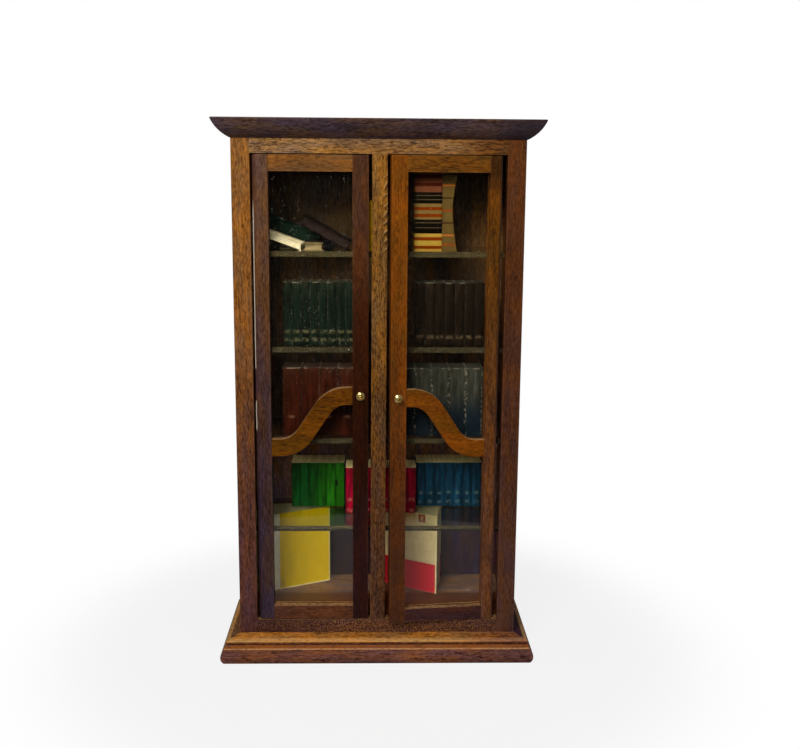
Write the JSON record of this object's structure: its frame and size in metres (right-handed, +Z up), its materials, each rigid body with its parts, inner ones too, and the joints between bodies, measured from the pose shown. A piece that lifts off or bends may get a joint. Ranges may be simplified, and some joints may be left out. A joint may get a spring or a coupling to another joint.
{
  "type": "book cabinet",
  "caption": "Upright twelfth-scale book cabinet with paired glazed doors, curved bars, clear shelves, crown and plinth mouldings, and miniature books",
  "frame": {"origin": "centre of the underside, midway between the plinth's front and the back panel", "axes": "+X to the viewer's right as the doors are faced, +Y from the doors to the back, +Z up"},
  "size_m": [0.1058, 0.0468, 0.18],
  "materials": {
    "panel_wood": "waxed",
    "frame_wood": "waxed",
    "door_wood": "waxed",
    "bar_wood": "waxed",
    "crown_wood": "waxed",
    "base_wood": "waxed",
    "clear_acrylic": "clear",
    "brass": "polished",
    "cloth_dark_green": "woven",
    "cloth_black": "woven",
    "cloth_brown": "woven",
    "cloth_slate": "woven",
    "cloth_green": "woven",
    "cloth_crimson": "woven",
    "cloth_teal": "woven",
    "cloth_burgundy": "woven",
    "cloth_navy": "woven",
    "paper_yellow": "printed",
    "paper_cream": "printed",
    "paper_gold": "printed",
    "paper_striped": "printed",
    "paper_grey": "plain",
    "paper_ivory": "plain"
  },
  "bodies": {
    "cabinet": {"back_panel": "panel_wood", "base_board": "panel_wood", "base_cap_front": "base_wood", "base_cap_left": "base_wood", "base_cap_right": "base_wood", "book_cream_red": "paper_cream", "book_gold": "paper_gold", "book_set_black": "cloth_black", "book_set_brown": "cloth_brown", "book_set_crimson": "cloth_crimson", "book_set_dark_green": "cloth_dark_green", "book_set_green": "cloth_green", "book_set_slate": "cloth_slate", "book_set_teal": "cloth_teal", "book_striped": "paper_striped", "book_yellow": "paper_yellow", "bottom_rail": "frame_wood", "centre_mullion": "frame_wood", "clear_shelf_four": "clear_acrylic", "clear_shelf_one": "clear_acrylic", "clear_shelf_three": "clear_acrylic", "clear_shelf_two": "clear_acrylic", "crown_front": "crown_wood", "crown_left": "crown_wood", "crown_right": "crown_wood", "fallen_book_burgundy": "cloth_burgundy", "fallen_book_cream": "paper_ivory", "fallen_book_green": "cloth_dark_green", "fallen_book_grey": "paper_grey", "fallen_book_ivory": "paper_ivory", "fallen_book_navy": "cloth_navy", "floor_board": "panel_wood", "front_post_left": "frame_wood", "front_post_right": "frame_wood", "hinge_pin_left_bottom": "brass", "hinge_pin_left_top": "brass", "hinge_pin_right_bottom": "brass", "hinge_pin_right_top": "brass", "plinth_front": "base_wood", "plinth_left": "base_wood", "plinth_right": "base_wood", "side_panel_left": "panel_wood", "side_panel_right": "panel_wood", "top_board": "panel_wood", "top_rail": "frame_wood"},
    "door_left": {"door_left_bottom_rail": "door_wood", "door_left_curved_bar": "bar_wood", "door_left_inner_stile": "door_wood", "door_left_knob": "brass", "door_left_outer_stile": "door_wood", "door_left_pane": "clear_acrylic", "door_left_top_rail": "door_wood"},
    "door_right": {"door_right_bottom_rail": "door_wood", "door_right_curved_bar": "bar_wood", "door_right_inner_stile": "door_wood", "door_right_knob": "brass", "door_right_outer_stile": "door_wood", "door_right_pane": "clear_acrylic", "door_right_top_rail": "door_wood"}
  },
  "joints": [
    {"name": "door_left_hinge", "type": "hinge", "parent": "cabinet", "child": "door_left", "pos_m": [-0.0383, -0.01507, 0.014], "axis": [0, 0, -1], "range_deg": [0, 100]},
    {"name": "door_right_hinge", "type": "hinge", "parent": "cabinet", "child": "door_right", "pos_m": [0.0383, -0.01507, 0.014], "axis": [0, 0, 1], "range_deg": [-6.5, 93.5]}
  ]
}
